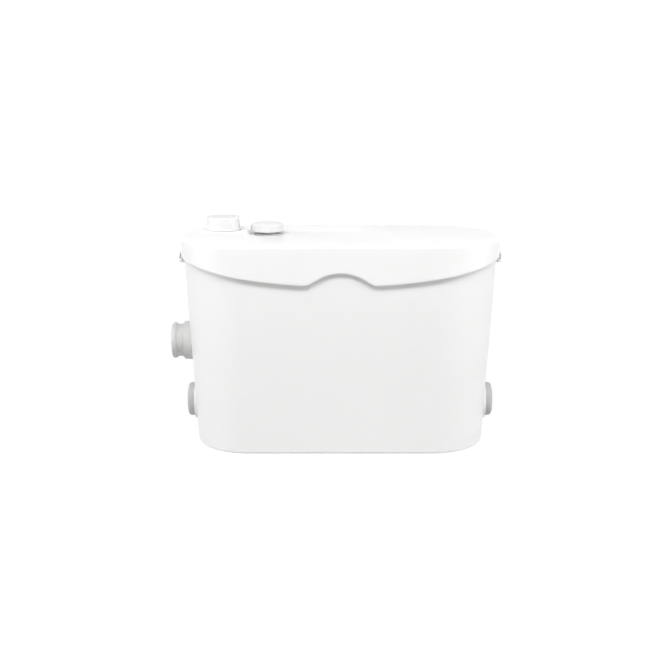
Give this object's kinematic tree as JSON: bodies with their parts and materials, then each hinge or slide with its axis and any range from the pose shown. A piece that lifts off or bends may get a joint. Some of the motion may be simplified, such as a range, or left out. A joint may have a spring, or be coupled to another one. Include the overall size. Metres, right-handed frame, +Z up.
{
  "type": "grey water macerator pump",
  "caption": "White tapered tank with a lift-off lid, outlet and vent caps, side clips and inlets, holding a pump, motor, valves and level switch.",
  "frame": {"origin": "on the floor under the middle of the tank", "axes": "+Z up, front towards -Y, the high inlet sleeve towards -X"},
  "size_m": [0.4411, 0.2084, 0.297],
  "materials": {
    "tank_plastic": "moulded, satin",
    "lid_plastic": "moulded, satin",
    "cap_plastic": "moulded, satin",
    "clip_plastic": "grey, moulded",
    "inlet_rubber": "grey, matt",
    "black_rubber": "matt",
    "pipe_plastic": "grey, moulded",
    "pump_plastic": "glass filled, moulded",
    "motor_casting": "cast",
    "stainless_steel": "turned",
    "core_steel": "laminated",
    "winding_copper": "enamelled copper wire",
    "box_plastic": "pale grey, moulded",
    "carbon_filter": "porous carbon"
  },
  "bodies": {
    "tank": {"tank": "tank_plastic", "clip_pins": "stainless_steel", "upper_inlet_sleeve": "inlet_rubber", "inlet_flap_pins": "stainless_steel", "pump_feet": "black_rubber", "strainer": "pump_plastic", "volute_casing": "pump_plastic", "seal_plate": "pump_plastic", "shaft_seal": "black_rubber", "motor_housing": "motor_casting", "motor_cover": "motor_casting", "lower_bearing": "stainless_steel", "upper_bearing": "stainless_steel", "stator_core": "core_steel", "stator_windings": "winding_copper", "volute_screws": "stainless_steel", "motor_cover_screws": "stainless_steel", "discharge_pipe": "pipe_plastic", "pump_coupler": "black_rubber", "valve_coupler": "black_rubber", "check_valve_body": "pipe_plastic", "check_flap_pin": "stainless_steel", "riser_hose": "black_rubber", "hose_clips": "stainless_steel", "control_box": "box_plastic", "control_cover": "box_plastic", "control_cover_screws": "stainless_steel", "capacitor": "motor_casting", "terminal_block": "box_plastic", "dip_tube": "pipe_plastic", "micro_switch": "pump_plastic", "motor_lead": "black_rubber", "cable_gland": "pump_plastic", "gland_nut": "pump_plastic"},
    "lid": {"lid": "lid_plastic", "lid_gasket": "black_rubber", "discharge_spigot": "pipe_plastic", "spigot_seal": "black_rubber", "spigot_nut": "pipe_plastic", "vent_body": "cap_plastic", "vent_filter": "carbon_filter"},
    "discharge_cap": {"discharge_cap": "cap_plastic", "discharge_cap_seal": "black_rubber"},
    "vent_cap": {"vent_cap": "cap_plastic"},
    "left_clip": {"left_clip": "clip_plastic"},
    "right_clip": {"right_clip": "clip_plastic"},
    "upper_inlet_flap": {"upper_inlet_flap": "black_rubber"},
    "lower_left_flap": {"lower_left_flap": "black_rubber"},
    "lower_right_flap": {"lower_right_flap": "black_rubber"},
    "check_flap": {"check_flap": "black_rubber"},
    "rotor": {"motor_shaft": "stainless_steel", "rotor": "core_steel", "impeller": "pump_plastic", "cutter_blade": "stainless_steel", "impeller_nut": "stainless_steel"},
    "diaphragm": {"diaphragm": "black_rubber"},
    "switch_lever": {"switch_lever": "stainless_steel"},
    "switch_button": {"switch_button": "box_plastic"},
    "lower_left_bung": {"lower_left_bung": "inlet_rubber"},
    "lower_right_bung": {"lower_right_bung": "inlet_rubber"}
  },
  "joints": [
    {"name": "lid_lift", "type": "slide", "parent": "tank", "child": "lid", "axis": [0, 0, 1], "range_m": [0, 0.1]},
    {"name": "discharge_cap_pull", "type": "slide", "parent": "lid", "child": "discharge_cap", "axis": [0, 0, 1], "range_m": [0, 0.03]},
    {"name": "vent_cap_pull", "type": "slide", "parent": "lid", "child": "vent_cap", "axis": [0, 0, 1], "range_m": [0, 0.02]},
    {"name": "left_clip_swing", "type": "hinge", "parent": "tank", "child": "left_clip", "pos_m": [-0.21107, 0, 0.245], "axis": [0, -1, 0], "range_deg": [0, 100]},
    {"name": "right_clip_swing", "type": "hinge", "parent": "tank", "child": "right_clip", "pos_m": [0.21107, 0, 0.245], "axis": [0, 1, 0], "range_deg": [0, 100]},
    {"name": "upper_inlet_flap_swing", "type": "hinge", "parent": "tank", "child": "upper_inlet_flap", "pos_m": [-0.17979, 0, 0.162], "axis": [0, -1, 0], "range_deg": [0, 25]},
    {"name": "lower_left_flap_swing", "type": "hinge", "parent": "tank", "child": "lower_left_flap", "pos_m": [-0.17858, 0, 0.079], "axis": [0, -1, 0], "range_deg": [0, 50]},
    {"name": "lower_right_flap_swing", "type": "hinge", "parent": "tank", "child": "lower_right_flap", "pos_m": [0.17858, 0, 0.079], "axis": [0, 1, 0], "range_deg": [0, 50]},
    {"name": "check_flap_swing", "type": "hinge", "parent": "tank", "child": "check_flap", "pos_m": [-0.1762, 0.044, 0.1258], "axis": [0, -1, 0], "range_deg": [0, 33]},
    {"name": "rotor_spin", "type": "hinge", "parent": "tank", "child": "rotor", "pos_m": [0.025, 0, 0.1], "axis": [0, 0, 1], "continuous": true},
    {"name": "diaphragm_rise", "type": "slide", "parent": "tank", "child": "diaphragm", "axis": [0, 0, 1], "range_m": [0, 0.002], "stiffness_N_per_m": 300},
    {"name": "switch_lever_swing", "type": "hinge", "parent": "tank", "child": "switch_lever", "pos_m": [0.11, -0.036, 0.1806], "axis": [0, -1, 0], "range_deg": [0, 16]},
    {"name": "switch_button_push", "type": "slide", "parent": "tank", "child": "switch_button", "axis": [0, 0, 1], "range_m": [0, 0.0012]},
    {"name": "lower_left_bung_pull", "type": "slide", "parent": "tank", "child": "lower_left_bung", "axis": [-1, 0, 0], "range_m": [0, 0.025]},
    {"name": "lower_right_bung_pull", "type": "slide", "parent": "tank", "child": "lower_right_bung", "axis": [1, 0, 0], "range_m": [0, 0.025]}
  ],
  "couplings": [
    {"joint": "switch_lever_swing", "follows": "diaphragm_rise", "rad_per_m": 109},
    {"joint": "switch_button_push", "follows": "diaphragm_rise", "ratio": 0.5}
  ]
}
